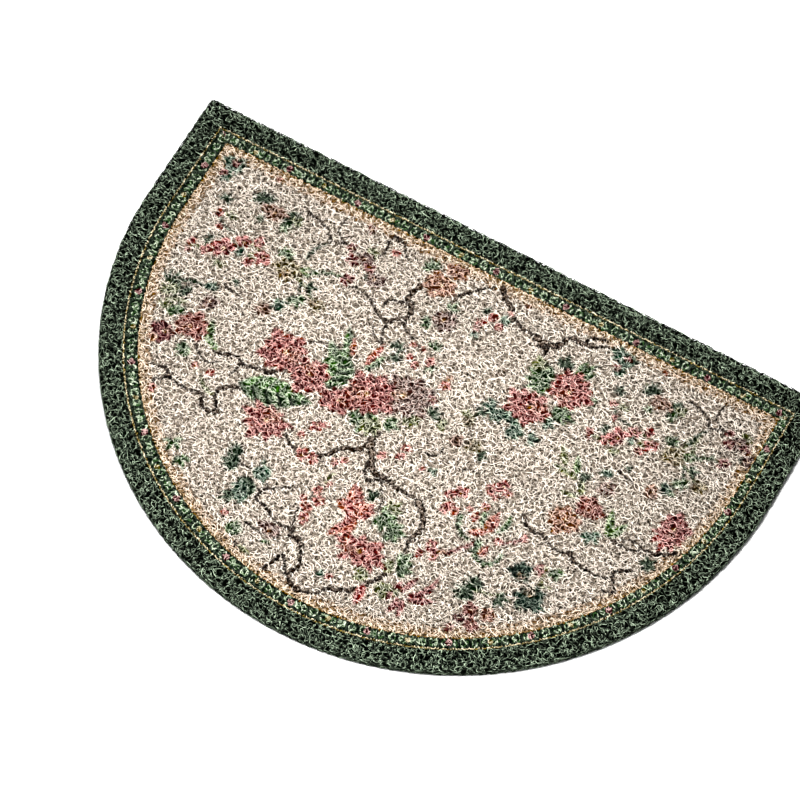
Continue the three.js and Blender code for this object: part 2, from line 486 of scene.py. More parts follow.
leafColumns = ("x", "y", "length", "width", "turn", "ink", "bend")
leaves = [
    (-211, -36, 100, 42, 12, "leaf"),
    (-272, -8, 38, 12, 108, "lime"),
    (-256, -8, 22, 9, 160, "lime"),
    (-108, 14, 62, 46, 97, "leaf"),
    (-104, 58, 54, 15, 118, "leaf"),
    (-112, 46, 42, 16, 134, "leaf"),
    (-104, 66, 32, 7, 112, "brick"),
    (-82, 58, 36, 12, 62, "leaf"),
    (-84, 62, 44, 9, 80, "red"),
    (-98, -230, 22, 7, -10, "moss"),
    (65, -198, 32, 13, -86, "rose"),
    (162, -62, 32, 14, 88, "red"),
    (163, -64, 26, 9, 108, "brick"),
    (154, -62, 40, 7, 94, "leaf", 0.1),
    (172, -60, 38, 8, 84, "leaf", -0.14),
    (141, -74, 28, 9, 30, "red"),
    (170, -96, 20, 9, 84, "red"),
    (120, -118, 16, 6, 32, "brown"),
    (115, -187, 53, 9, 62, "plum", -0.2),
    (118, -190, 40, 9, 23, "plum", -0.05),
    (109, -187, 32, 8.5, 71, "plum"),
    (99, -186, 18, 7, 63, "plum"),
    (116, -192, 27, 9, -77, "plum"),
    (109, -192, 27, 8.5, -97, "plum", 0.1),
    (99, -188, 18, 8, -90, "plum"),
    (8, -122, 44, 22, 118, "red"),
    (2, -116, 28, 20, 18, "red"),
    (12, -128, 34, 18, 72, "red"),
    (6, -122, 36, 17, -82, "red"),
    (10, -134, 36, 13, -124, "red"),
    (2, -118, 24, 15, 172, "red"),
    (-8, -106, 34, 9, -66, "rose"),
    (295, 5, 42, 11, 107, "lime"),
    (296, 5, 34, 11, 66, "lime"),
    (204, 66, 32, 9, 126, "moss"),
    (222, 62, 30, 9, 116, "lime"),
    (226, 58, 42, 8, 174, "moss"),
    (228, 60, 32, 9, -60, "moss"),
    (238, 36, 28, 7, 186, "moss"),
    (336, 112, 14, 7, 60, "leaf"),
    (330, 94, 14, 7, 20, "leaf"),
]

sprayColumns = ("x", "y", "length", "turn", "ink", "leafLength")
sprays = [
    (-354, 60, 30, -70, "pine"),
    (-232, -66, 26, 150, "moss", 7),
    (-344, 56, 26, 12, "pine", 8),
    (336, 156, 34, 100, "moss"),
    (320, 160, 26, 70, "moss", 8),
    (-350, 22, 24, 20, "moss", 8),
]

bloomColumns = ("x", "y", "size", "ink", "petals", "squash", "turn")
blooms = [
    (-329, -19, 19, "plum", 7, 0.85, 220),
    (-304, 4, 25, "brick", 9, 0.85, 40),
    (-180, 31, 33, "red", 10, 0.95, 180),
    (-138, 19, 26, "red", 9, 1.1, 300),
    (-21, 52, 38, "mauve", 11, 0.85, 20),
    (-88, 5, 24, "red", 8, 0.85, 200),
    (-62, 31, 36, "red", 12, 0.9, 30),
    (-48, 238, 16, "orange", 6, 0.8, 90),
    (-56, 212, 24, "orange", 8, 0.8, 200),
    (-29, 169, 18, "mauve", 8, 0.9),
    (67, 60, 9, "olive", 5),
    (67, 29, 10, "brown", 5),
    (89, 33, 12, "olive", 6),
    (158, 159, 31, "coral", 12, 0.9, 70),
    (125, 116, 33, "coral", 12, 0.78, 200),
    (362, 56, 22, "rose", 9, 1, 90),
    (257, 28, 21, "brick", 8, 0.8, 90),
    (238, 1, 24, "orange", 9, 0.85, 240),
    (-74, -192, 19, "mauve", 7, 0.5, 90),
    (225, -90, 17, "teal", 8, 0.9, 120),
    (250, -112, 21, "teal", 9, 0.95, 300),
    (196, -164, 12, "brick", 6, 0.9, 180),
    (216, -160, 12, "orange", 6, 0.8),
    (205, -180, 12, "brick", 6, 0.9, 270),
    (187, -181, 8, "plum", 5, 0.9),
]

stars = [
    (-153, -64, 35, "red", 9, 0.85, 250),
    (37, -163, 40, "coral", 10, 0.62, 20),
]

blossomColumns = ("x", "y", "size", "ink")
blossoms = [
    (-338, -33, 6, "orange"), (-270, -42, 5, "red"), (-249, -41, 5.5, "red"), (-302, -94, 5.5, "rose"),
    (-128, 224, 5.5, "red"), (-172, 238, 7, "mauve"), (-45, 120, 5, "red"), (-41, 104, 5, "rose"),
    (-29, 96, 5.5, "rose"), (-16, 109, 6.5, "red"), (-31, 122, 4, "red"), (25, 204, 7, "red"),
    (36, 195, 6, "rose"), (12, 191, 6, "rose"), (12, 181, 5, "plum"), (18, 88, 7, "red"),
    (18, 101, 5, "brown"), (14, 65, 6.5, "plum"), (54, 239, 4, "plum"), (42, 221, 4, "red"),
    (72, 145, 3.4, "bark"), (68, 139, 3, "bark"), (77, 139, 3, "bark"), (-94, -38, 8.5, "red"),
    (-84, -32, 5, "rose"), (-106, -59, 5, "red"), (-90, -84, 9, "red"), (-75, -80, 8, "red"),
    (-40, -63, 5, "rose"), (-50, -71, 5.5, "rose"), (18, -12, 6, "rose"), (18, -25, 6, "red"),
    (-2, -35, 6, "red"), (50, -26, 4, "rose"), (-134, -200, 5, "rose"), (-41, -101, 4.5, "rose"),
    (-48, -115, 6.5, "red"), (-39, -127, 8, "red"), (-59, -134, 5.5, "rose"), (-50, -142, 7, "red"),
    (-45, -159, 8, "red"), (21, -211, 5, "rose"), (108, -31, 9, "rose"), (98, -41, 7, "rose"),
    (106, -52, 5.5, "rose"), (100, -60, 7.5, "rose"), (115, -56, 5.5, "red"), (127, -45, 4.5, "rose"),
    (150, 3, 9, "rose"), (138, -7, 7.5, "rose"), (160, -4, 5.5, "rose"), (150, -15, 5, "rose"),
    (144, -34, 6, "red"), (138, -50, 6, "red"), (110, -112, 8, "rose"), (119, -124, 6, "rose"),
    (103, -127, 6, "rose"), (184, -196, 6, "plum"), (207, -47, 5, "rose"), (180, -67, 5, "rose"),
    (242, -72, 5, "plum"), (246, -80, 4, "plum"), (263, 68, 9, "mauve"), (313, 88, 8, "brown"),
    (311, 143, 7, "olive"), (362, 122, 7, "olive"),
]

# Motifs that the print shows a second time to the right, nearer together and smaller there
copyScale, copyShift, copySize = (0.83, 0.9), (510, 24), 0.87
repeatedStems = [
    (2.8, [(-257, 220), (-239, 218), (-219, 209), (-210, 198), (-195, 202), (-181, 207)]),
    (2.6, [(-210, 236), (-210, 218), (-199, 207), (-188, 204)]),
    (2.4, [(-219, 182), (-210, 195)]),
    (2.2, [(-366, 106), (-342, 112), (-322, 124), (-304, 142), (-276, 141)], "moss"),
    (2.2, [(-356, 164), (-340, 150), (-318, 146)], "pine"),
    (2.2, [(-238, 132), (-214, 128), (-196, 118), (-182, 110)], "moss"),
    (2.2, [(-214, 126), (-206, 104), (-226, 82), (-240, 72)], "pine"),
    (3.0, [(-296, 76), (-284, 73), (-270, 70)]),
]
repeatedFans = [
    (-312, 204, 26, 5, 118, "pine", 7, 130),
    (-280, 200, 30, 6, -4, "pine", 6, 90),
    (-276, 192, 22, 5, -50, "leaf", 3, 60),
    (-300, 182, 16, 4, 190, "leaf", 3, 60),
    (-250, 148, 20, 6, 80, "leaf", 5, 130),
    (-204, 124, 20, 6, 20, "pine", 3, 90),
    (-208, 106, 20, 6, -60, "leaf", 5, 150),
    (-226, 82, 18, 7, 35, "teal", 4, 100),
    (-226, 140, 28, 6, 14, "lime", 2, 30),
    (-344, 124, 14, 5, 170, "pine", 4),
    (-300, 128, 14, 5, 180, "teal", 4, 130),
    (-292, 127, 12, 5, 0, "moss", 3, 90),
    (-320, 104, 16, 4, -85, "moss", 4, 110),
    (-340, 162, 16, 4, 80, "moss", 4, 110),
    (-358, 184, 14, 5, 80, "pine", 5, 200),
    (-330, 42, 20, 5, 160, "pine"),
    (-308, 60, 18, 6, 100, "teal", 4, 90),
    (-286, 84, 10, 6, 60, "pine", 3),
    (-264, 196, 16, 6, 60, "moss", 3, 90),
    (-378, 216, 16, 6, -40, "teal", 3, 80),
    (-375, 236, 22, 8, 10, "pine", 3, 60),
    (-375, 236, 20, 8, 180, "teal", 3, 60),
    (-375, 236, 22, 8, -70, "teal", 4, 90),
    (-156, 206, 16, 5, 60, "moss", 4),
    (-146, 180, 16, 5, -30, "pine", 3, 90),
]
repeatedSprays = [
    (-212, 140, 42, 28, "leaf"),
    (-224, 160, 34, 72, "pine", 8),
]
repeatedBlooms = [
    (-293, 197, 19, "brown", 8, 0.66, 90),
    (-237, 133, 20, "olive", 9, 0.85, 90),
    (-181, 109, 12, "olive", 6, 0.9),
    (-237, 69, 11, "brown", 6, 0.9),
    (-300, 46, 13, "mauve", 7, 0.8),
    (-159, 197, 14, "mauve", 7, 0.8),
    (-133, 177, 15, "mauve", 7, 0.8),
]
repeatedBlossoms = [
    (-324, 121, 15, "rose"), (-306, 141, 10, "rose"), (-274, 135, 11, "rose"), (-288, 150, 8, "rose"),
    (-287, 118, 7, "rose"), (-342, 108, 7.5, "rose"), (-366, 110, 6, "rose"), (-364, 100, 5, "plum"),
    (-356, 164, 6, "rose"), (-344, 146, 5, "rose"), (-172, 187, 9, "plum"), (-163, 159, 9.5, "plum"),
    (-379, 217, 6, "plum"), (-374, 237, 6, "plum"), (-148, 190, 8, "plum"), (-313, 243, 4, "brick"),
    (-181, 203, 7, "plum"), (-304, 36, 6, "mauve"),
]


def drawRows(shape, columns, rows, copied=False):
    # every row of a table as one call of the shape; a copy has its places scaled and shifted and its
    # sizes scaled
    for row in rows:
        held = dict(zip(columns, row))
        if copied:
            if "points" in held:
                held["points"] = np.array(held["points"], float) * copyScale + copyShift
            else:
                held["x"] = held["x"] * copyScale[0] + copyShift[0]
                held["y"] = held["y"] * copyScale[1] + copyShift[1]
            for key in ("length", "size", "leafLength"):
                if key in held:
                    held[key] *= copySize
        shape(**held)


def printField():
    # stems first, then leaves over them and flowers over those; the repeated rows are drawn twice
    tables = (
        (branch, stemColumns, stems, repeatedStems),
        (spray, sprayColumns, sprays, repeatedSprays),
        (fan, fanColumns, fans, repeatedFans),
        (leaf, leafColumns, leaves, []),
        (starFlower, bloomColumns, stars, []),
        (bloom, bloomColumns, blooms, repeatedBlooms),
        (blossom, blossomColumns, blossoms, repeatedBlossoms),
    )
    for shape, columns, rows, repeatedRows in tables:
        drawRows(shape, columns, rows + repeatedRows)
        drawRows(shape, columns, repeatedRows, copied=True)


def inkAt(x, y):
    # the print at any points, blended between the four grid points round each
    column = np.clip((x - gridX[0]) / printStep, 0, len(gridX) - 1.001)
    row = np.clip((y - gridY[0]) / printStep, 0, len(gridY) - 1.001)
    left, below = column.astype(int), row.astype(int)
    shareX, shareY = (column - left)[..., None], (row - below)[..., None]
    lower = printed[below, left] * (1 - shareX) + printed[below, left + 1] * shareX
    upper = printed[below + 1, left] * (1 - shareX) + printed[below + 1, left + 1] * shareX
    return lower * (1 - shareY) + upper * shareY


printGround()
printField()
print("print worked out")


# Meshes

def makeMesh(name, points, faces, bakeMap, smooth=True, **values):
    # one mesh from whole arrays: points in millimetres, faces as arrays of point numbers with any number
    # of columns, and for each point a place in the bake map and the values it holds
    corners = np.concatenate([part.ravel() for part in faces])
    counts = np.concatenate([np.full(len(part), part.shape[1]) for part in faces])
    mesh = bpy.data.meshes.new(name)
    mesh.vertices.add(len(points))
    mesh.loops.add(len(corners))
    mesh.polygons.add(len(counts))
    mesh.vertices.foreach_set("co", (points * mm).astype(np.float32).ravel())
    mesh.loops.foreach_set("vertex_index", corners.astype(np.int32))
    mesh.polygons.foreach_set("loop_start", (np.cumsum(counts) - counts).astype(np.int32))
    mesh.polygons.foreach_set("use_smooth", np.full(len(counts), smooth))
    for key, held in values.items():
        isColour = held.ndim == 2
        attribute = mesh.attributes.new(key, "FLOAT_COLOR" if isColour else "FLOAT", "POINT")
        if isColour:
            held = np.column_stack([held, np.ones(len(held))])
        attribute.data.foreach_set("color" if isColour else "value", held.astype(np.float32).ravel())
    layer = mesh.uv_layers.new(name="OFBake")
    layer.data.foreach_set("uv", bakeMap[corners].astype(np.float32).ravel())
    mesh.update(calc_edges=True)
    mesh.validate()
    piece = bpy.data.objects.new(name, mesh)
    bpy.context.collection.objects.link(piece)
    return piece


# How every filament turns
turning = {
    "bend": 0.72,  # share of an even circle that a filament turns at each step, on average
    "bendWaves": ((0.19, 0.6), (0.47, 0.6), (0.83, 0.5)),  # its swells: rate for each loop, and height
    "meanLoops": 3,  # loops whose mean path is taken off
    "swing": 0.3,  # lift that goes with the heading
    "scatter": 0.8,  # lift by chance
    "anyHeading": 6.28,  # a start is drawn from a full turn
}

# Loops of filament over the whole top
loops = {
    "laneGap": 3.55,  # between neighbouring filaments
    "turnAdvance": 3.75,  # along the lane for each loop
    "loopRadius": 2.05,
    "stepsPerTurn": 4,
    "filament": 0.57,  # from the middle of a filament to its edge
    "middle": 10.0,  # height of the loops' middle
    "rise": 1.15,  # up and down from the middle
    "rimGap": 3.5,  # from the rim to the last of these loops
    "overrun": 20,  # rows start and end this far outside the mat, and are cut at the gap
    "swellLength": 9,  # along the lane
    "swells": ((0.27, 0.12), (0.61, 0.08)),  # of the thickness: rate for each swell length, and height
    "strips": 5,  # pieces, so that none is too heavy
    "seed": 11,
}


def wander(draw, lanes, turns, waves):
    # a sum of sines of the turn count, each lane with its own start: one (rate, height) pair for each wave
    total = np.zeros((lanes, len(turns)))
    for rate, height in waves:
        start = draw.uniform(0, 2 * math.pi, (lanes, 1))
        total += height * np.sin(2 * math.pi * rate * turns[None, :] + start)
    return total


def runningMean(rows, width):
    # the mean of the width values round each one, the ends repeated
    padded = np.pad(rows, ((0, 0), (width // 2 + 1, width // 2)), "edge").cumsum(1)
    return (padded[:, width:] - padded[:, :-width])[:, :rows.shape[1]] / width


def loopPaths(draw, lanes, size, runLength):
    # a filament that keeps turning: its heading is the running sum of a bend that swells and slackens, its
    # path the running sum of even steps along the heading, and the mean over a few loops is taken off so
    # that it stays on its lane; gives the place along, the place across and the lift from -1 to 1
    steps = int(runLength / size["turnAdvance"] * size["stepsPerTurn"])
    turns = np.arange(steps) / size["stepsPerTurn"]
    turn = 2 * math.pi / size["stepsPerTurn"]
    bend = turning["bend"] + wander(draw, lanes, turns, turning["bendWaves"])
    heading = np.cumsum(draw.choice((-turn, turn), (lanes, 1)) * bend, 1)
    heading += draw.uniform(0, turning["anyHeading"], (lanes, 1))
    stepLength = turn * size["loopRadius"]
    along = np.cumsum(np.cos(heading), 1) * stepLength
    across = np.cumsum(np.sin(heading), 1) * stepLength
    width = turning["meanLoops"] * size["stepsPerTurn"]
    along += size["turnAdvance"] * turns - runningMean(along, width)
    across -= runningMean(across, width)
    lift = turning["swing"] * np.cos(heading + draw.uniform(0, turning["anyHeading"], (lanes, 1)))
    lift += draw.uniform(-turning["scatter"], turning["scatter"], (lanes, steps))
    return along, across, np.clip(lift, -1, 1)


def opened(inside):
    # drops stretches of under three steps
    kept = inside.copy()
    kept[:, 0] = kept[:, -1] = False
    kept[:, 1:-1] &= inside[:, :-2] & inside[:, 2:]
    grown = kept.copy()
    grown[:, 1:] |= kept[:, :-1]
    grown[:, :-1] |= kept[:, 1:]
    return grown


def tubes(x, y, z, outward, thick, inside):
    # three-sided tubes on rows of points: a ridge along outward, and two edges to the sides; neighbouring
    # points of a row are joined where both are inside, and each end is closed by a triangle
    middle = np.stack([x, y, z], -1)
    ahead = np.gradient(middle, axis=1)
    aside = np.cross(outward, ahead)
    aside /= np.maximum(np.linalg.norm(aside, axis=-1, keepdims=True), 1e-9)
    thick = thick[..., None]
    ring = np.stack([
        middle + outward * thick,
        middle - outward * thick * 0.5 + aside * thick * 0.9,
        middle - outward * thick * 0.5 - aside * thick * 0.9,
    ], 2)
    number = np.full(inside.shape, -1)
    number[inside] = np.arange(inside.sum()) * 3
    start, end = number[:, :-1], number[:, 1:]
    joined = (start >= 0) & (end >= 0)
    start, end = start[joined], end[joined]
    first = inside.copy()
    first[:, 1:] &= ~inside[:, :-1]
    last = inside.copy()
    last[:, :-1] &= ~inside[:, 1:]
    bottom = np.stack([start + 1, end + 1, end + 2, start + 2], 1)
    left = np.stack([start, end, end + 1, start + 1], 1)
    right = np.stack([start + 2, end + 2, end, start], 1)
    startCap = number[first][:, None] + np.array([0, 1, 2])
    endCap = number[last][:, None] + np.array([0, 2, 1])
    return ring[inside].reshape(-1, 3), [bottom, left, right, startCap, endCap]


def planMap(points):
    # the bake map is the plan, stretched to fill the square
    low, high = points[:, :2].min(0), points[:, :2].max(0)
    return 0.01 + 0.98 * (points[:, :2] - low) / (high - low)


def printAt(points):
    # everything about the print that a mesh's points hold
    px, py = points[:, 0], points[:, 1]
    held = inkAt(px, py)
    return {
        "ink": held[:, :3], "stem": held[:, 3],
        "rimDepth": rimDepth(px, py), "fieldDepth": fieldDepth(px, py), "rimRun": rimRun(px, py),
    }


def loopMesh(name, x, y, z, outward, thick, inside, height):
    # one piece from rows of filament, with the print and the height that each point holds
    points, faces = tubes(x, y, z, outward, thick, inside)
    return makeMesh(
        name, points, faces, planMap(points), **printAt(points),
        height=np.repeat(height[inside], 3), ridge=np.tile([1.0, 0.0, 0.0], inside.sum()),
    )


def makeLoops():
    # one looped filament for each lane across the mat, kept where it lies inside the rim, and the lanes
    # shared out so that every strip is about as heavy
    draw = np.random.default_rng(loops["seed"])
    depth = straightY - lowCorner[1]
    lanes = int(depth / loops["laneGap"])
    along, across, lift = loopPaths(draw, lanes, loops, 2 * (halfWidth + loops["overrun"]))
    middleLine = lowCorner[1] + (np.arange(lanes) + 0.5) * depth / lanes
    x, y = along - halfWidth - loops["overrun"], across + middleLine[:, None]
    thick = loops["filament"] * (1 + wander(draw, lanes, along[0] / loops["swellLength"], loops["swells"]))
    z = loops["middle"] + loops["rise"] * lift
    inside = opened(rimDepth(x, y) > loops["rimGap"] + thick)
    outward = np.broadcast_to(np.array([0.0, 0.0, 1.0]), x.shape + (3,))
    shares = np.cumsum(inside.sum(1)) / inside.sum()
    strip = np.minimum((shares * loops["strips"]).astype(int), loops["strips"] - 1)
    pieces = []
    for number in range(loops["strips"]):
        rows = strip == number
        parts = (part[rows] for part in (x, y, z, outward, thick, inside, lift * 0.5 + 0.5))
        pieces.append(loopMesh(f"loops_{number + 1}", *parts))
    return pieces


# Cut loops on the rim
rimLoops = {
    "sideHeights": (3.6, 8.0),  # rows on the cut side
    "topInsets": (1.9, 4.6),  # rows on the top that follow the rim, from the rows on the side
    "turnAdvance": 4.6,
    "loopRadius": 2.6,
    "stepsPerTurn": 5,
    "filament": 0.54,
    "inset": 1.1,  # from the rim to the side rows' middle
    "rise": 0.5,  # in and out
    "lowest": 0.8,  # height of the lowest filament's middle
    "belowTop": 1.2,  # the highest one's depth under the top
    "leastInset": 0.3,
    "cornerRadius": 6.0,
    "lineSteps": (800, 100, 900, 12),  # on the straight edge, each side, the half circle and each corner
    "seed": 5,
}


def rimLine(inset):
    # the rim as places at even small steps: straight runs and arcs in turn, anticlockwise from the right
    # end of the straight edge; gives the run, the places and the directions out of the mat
    corner = rimLoops["cornerRadius"]
    straightSteps, sideSteps, arcSteps, cornerSteps = rimLoops["lineSteps"]
    quarter = np.linspace(0, math.pi / 2, cornerSteps, endpoint=False)
    sweep = np.linspace(math.pi, 2 * math.pi, arcSteps, endpoint=False)
    radius = halfWidth - inset
    middleX, middleY = halfWidth - corner, straightY - corner
    reach = corner - inset
    x = np.concatenate([
        np.linspace(middleX, -middleX, straightSteps), -middleX - reach * np.sin(quarter),
        np.full(sideSteps, -radius), radius * np.cos(sweep),
        np.full(sideSteps, radius), middleX + reach * np.cos(quarter),
    ])
    y = np.concatenate([
        np.full(straightSteps, straightY - inset), middleY + reach * np.cos(quarter),
        np.linspace(middleY, arcY, sideSteps), arcY + radius * np.sin(sweep),
        np.linspace(arcY, middleY, sideSteps), middleY + reach * np.sin(quarter),
    ])
    stepX, stepY = np.gradient(x), np.gradient(y)
    size = np.maximum(np.hypot(stepX, stepY), 1e-9)
    run = np.concatenate([[0], np.cumsum(np.hypot(np.diff(x), np.diff(y)))])
    return run, x, y, stepY / size, -stepX / size


def makeRimLoops():
    # rows on the side turn in the upright plane along the rim, and rows on the top turn in the flat one
    draw = np.random.default_rng(rimLoops["seed"])
    run, lineX, lineY, outX, outY = rimLine(rimLoops["inset"])
    heights, insets = (np.array(rimLoops[key])[:, None] for key in ("sideHeights", "topInsets"))
    along, across, lift = loopPaths(draw, len(heights) + len(insets), rimLoops, run[-1])
    onSide, onTop = slice(0, len(heights)), slice(len(heights), None)
    place = np.clip(along, 0, run[-1])
    out = np.stack([np.interp(place, run, outX), np.interp(place, run, outY), np.zeros(place.shape)], -1)
    out /= np.linalg.norm(out, axis=-1, keepdims=True)
    offset = lift * rimLoops["rise"]
    offset[onTop] = -np.maximum(insets + across[onTop], rimLoops["leastInset"])
    z = loops["middle"] + loops["rise"] * lift
    z[onSide] = np.clip(heights + across[onSide], rimLoops["lowest"], topZ - rimLoops["belowTop"])
    x = np.interp(place, run, lineX) + out[..., 0] * offset
    y = np.interp(place, run, lineY) + out[..., 1] * offset
    out[onTop] = (0, 0, 1)
    inside = opened((along > 0) & (along < run[-1]))
    thick = np.full(x.shape, rimLoops["filament"])
    return loopMesh("rim_loops", x, y, z, out, thick, inside, 0.5 + 0.5 * lift)


loopPieces = [*makeLoops(), makeRimLoops()]
triangles = [len(piece.data.loops) - 2 * len(piece.data.polygons) for piece in loopPieces]
print("loops made, triangles", triangles)


# The mat's body under the loops
body = {
    "inset": 1.7,  # inside the rim, behind the cut loops
    "height": 8.4,
    "unevenness": 0.35,
    "lumps": ((3.1, 4.3), (3.3, 5.1)),  # lengths of the two bent waves whose product is the lumps
    "across": 226,  # points in each row
    "rowStep": 4.0,
    "firstAngle": 0.012,  # how far round the half circle from its front the first row lies, in radians
}


def makeBody():
    # rows across the mat: each row's half width is the plan's at that y, and the columns share it evenly;
    # the top is lumpy by the product of two bent sines, and the walls go straight down to one flat face
    radius = halfWidth - body["inset"]
    arcRows = int(radius * math.pi / 2 / body["rowStep"])
    angle = np.linspace(body["firstAngle"], math.pi / 2, arcRows)
    top = straightY - body["inset"]
    sideRows = int((top - arcY) / body["rowStep"])
    rowY = np.concatenate([arcY - radius * np.cos(angle), np.linspace(arcY, top, sideRows + 1)[1:]])
    half = np.concatenate([radius * np.sin(angle), np.full(sideRows, radius)])
    share = np.linspace(-1, 1, body["across"])
    x = half[:, None] * share
    y = np.broadcast_to(rowY[:, None], x.shape)
    (lengthX, bendY), (lengthY, bendX) = body["lumps"]
    lumps = np.sin(x / lengthX + 2 * np.sin(y / bendY)) * np.sin(y / lengthY + 2 * np.sin(x / bendX))
    z = body["height"] + body["unevenness"] * lumps
    topPoints = np.stack([x, y, z], -1).reshape(-1, 3)
    number = np.arange(x.size).reshape(x.shape)
    quads = np.stack([number[:-1, :-1], number[:-1, 1:], number[1:, 1:], number[1:, :-1]], -1).reshape(-1, 4)
    rim = np.concatenate([number[0, :-1], number[:-1, -1], number[-1, :0:-1], number[:0:-1, 0]])
    lowRim = topPoints[rim] * np.array([1, 1, 0])
    lowNumber = x.size + np.arange(len(rim))
    after = np.roll(np.arange(len(rim)), -1)
    walls = np.stack([lowNumber, lowNumber[after], rim[after], rim], 1)
    points = np.vstack([topPoints, lowRim])
    return makeMesh(
        "mat_body", points, [lowNumber[None, ::-1], walls, quads], planMap(points), smooth=False,
        **printAt(points), height=np.repeat([1.0, 0.0], [x.size, len(rim)]),
    )


matBody = makeBody()
print("body made")


# The sharp parts of the print; waves are pairs of a height and a length along the rim
sharp = {
    "edgeWaves": ((0.45, 9.7), (0.3, 4.1)),
    "stemWaves": ((0.4, 4.7), (0.35, 3.1)),
    "lineWaves": ((0.35, 5.3), (0.35, 3.1)),
    "bandWaves": ((0.7, 21.3),),
    "ringWaves": ((1.2, 7.7), (1.2, 17.1)),
    "stemEdge": 0.4,  # half the width of a stem's soft edge
    "barkDepth": (1.2, 3.4),  # inside a stem, where its edge colour ends and its middle colour starts
    "ring": (2.0, 4.9),  # radii inside and outside
    "flower": 4.6,
    "dot": 3.4,
}

# Colours of the filament, with its painted shade and painted highlights
finish = {
    "greenRim": (14, 62, 16),
    "greenBand": (8, 42, 18),
    "bandRing": (132, 166, 124),
    "barkEdge": (30, 12, 4),
    "barkMiddle": (116, 80, 46),
    "goldLine": (220, 200, 150),
    "goldEdge": (206, 160, 98),
    "flower": (150, 56, 66),
    "dot": (176, 156, 72),
    "underside": (52, 66, 50),
    "roughness": 0.5,
    "shine": 0.01,
    "richness": 1.5,  # saturation of the print where painted shade darkens it
    "highlight": (252, 246, 234),  # painted highlight colour on the tops of the filament
    "rimHighlight": (236, 255, 224),  # the painted highlight colour on the green rim
    "fieldPale": 0.85,  # strength of the painted highlight on the ridges inside the rim, where they are all pale
    "rimSharp": 3.7,  # how fast the painted highlight goes away from the ridges
    "fieldSharp": 1.8,
    "sidePale": 0.2,  # share of the painted highlight on a filament's sides
    "darkPale": 0.09,  # share of the painted highlight on dark inks
    "darkInk": (0.015, 0.12),  # brightness from a dark ink to a light one
    "fieldLow": 0.02,  # painted shade: share of the ink's brightness left on the field's lowest filaments
    "rimFall": 3.2,  # painted shade: how fast the brightness falls below the top
    "fieldFall": 1.2,
    "rimSide": 0.01,  # painted shade: share of the brightness left on a filament's sides
    "fieldSide": 0.46,
}

# The deeper filaments seen in the gaps, dimmed by painted shade
deeper = {
    "rimDeep": 0.004,  # painted shade: share of the ink's brightness left under the green rim
    "fieldDeep": 0.22,  # and under the field
    "darkDeep": 0.25,  # share of that under dark inks
    "darkInk": (0.1, 0.5),
    "nets": ((240, 0.13), (350, 0.1)),  # scale and line width of each net of filament
    "netFall": 0.8,
    "secondNet": 0.4,  # how bright the second net is
    "gapShade": 0.003,  # painted shade: brightness between the lines
    "bendScale": 130,  # of the noise that bends the nets
    "bend": 0.007,  # how far it bends them, in metres
    "underLow": 0.4,  # brightness of the underside between its lines
    "bump": 0.5,
    "bumpDepth": 0.001,  # in metres
    "roughness": 0.8,
    "shine": 0.005,
}


def attributeNode(tree, name):
    # a value that the mesh holds at each point
    node = tree.nodes.new("ShaderNodeAttribute")
    node.attribute_name = name
    return node.outputs["Color" if name == "ink" else "Fac"]


def feed(tree, socket, value):
    # gives a node's input a number, a screen colour or another node's output
    if isinstance(value, tuple):
        socket.default_value = (*linear(value), 1)
    elif isinstance(value, (int, float)):
        socket.default_value = value
    else:
        tree.links.new(value, socket)


def maths(tree, operation, *values):
    # one maths node
    node = tree.nodes.new("ShaderNodeMath")
    node.operation = operation
    for socket, value in zip(node.inputs, values):
        feed(tree, socket, value)
    return node.outputs[0]


def mixed(tree, share, first, second, blend="MIX"):
    # the second colour over the first by the share; inputs 0, 6 and 7 are the share and the two colours
    node = tree.nodes.new("ShaderNodeMix")
    node.data_type = "RGBA"
    node.blend_type = blend
    for number, value in ((0, share), (6, first), (7, second)):
        feed(tree, node.inputs[number], value)
    return node.outputs[2]


def ramp(tree, value, low, high):
    # 0 where the value is under low, 1 where it is over high, even between them
    share = maths(tree, "DIVIDE", maths(tree, "SUBTRACT", value, low), high - low)
    return maths(tree, "MINIMUM", maths(tree, "MAXIMUM", share, 0.0), 1.0)


def between(tree, value, low, high):
    # 1 where the value lies between low and high, else 0
    over = maths(tree, "GREATER_THAN", value, low)
    return maths(tree, "MULTIPLY", over, maths(tree, "LESS_THAN", value, high))


def under(tree, value, limit, first, second):
    # the second colour where the value is under the limit, else the first
    return mixed(tree, maths(tree, "LESS_THAN", value, limit), first, second)


def swayed(tree, value, run, waves):
    # a value plus sines of the run: one (height, length) pair for each
    for height, length in waves:
        wave = maths(tree, "SINE", maths(tree, "MULTIPLY", run, 2 * math.pi / length))
        value = maths(tree, "MULTIPLY_ADD", wave, height, value)
    return value


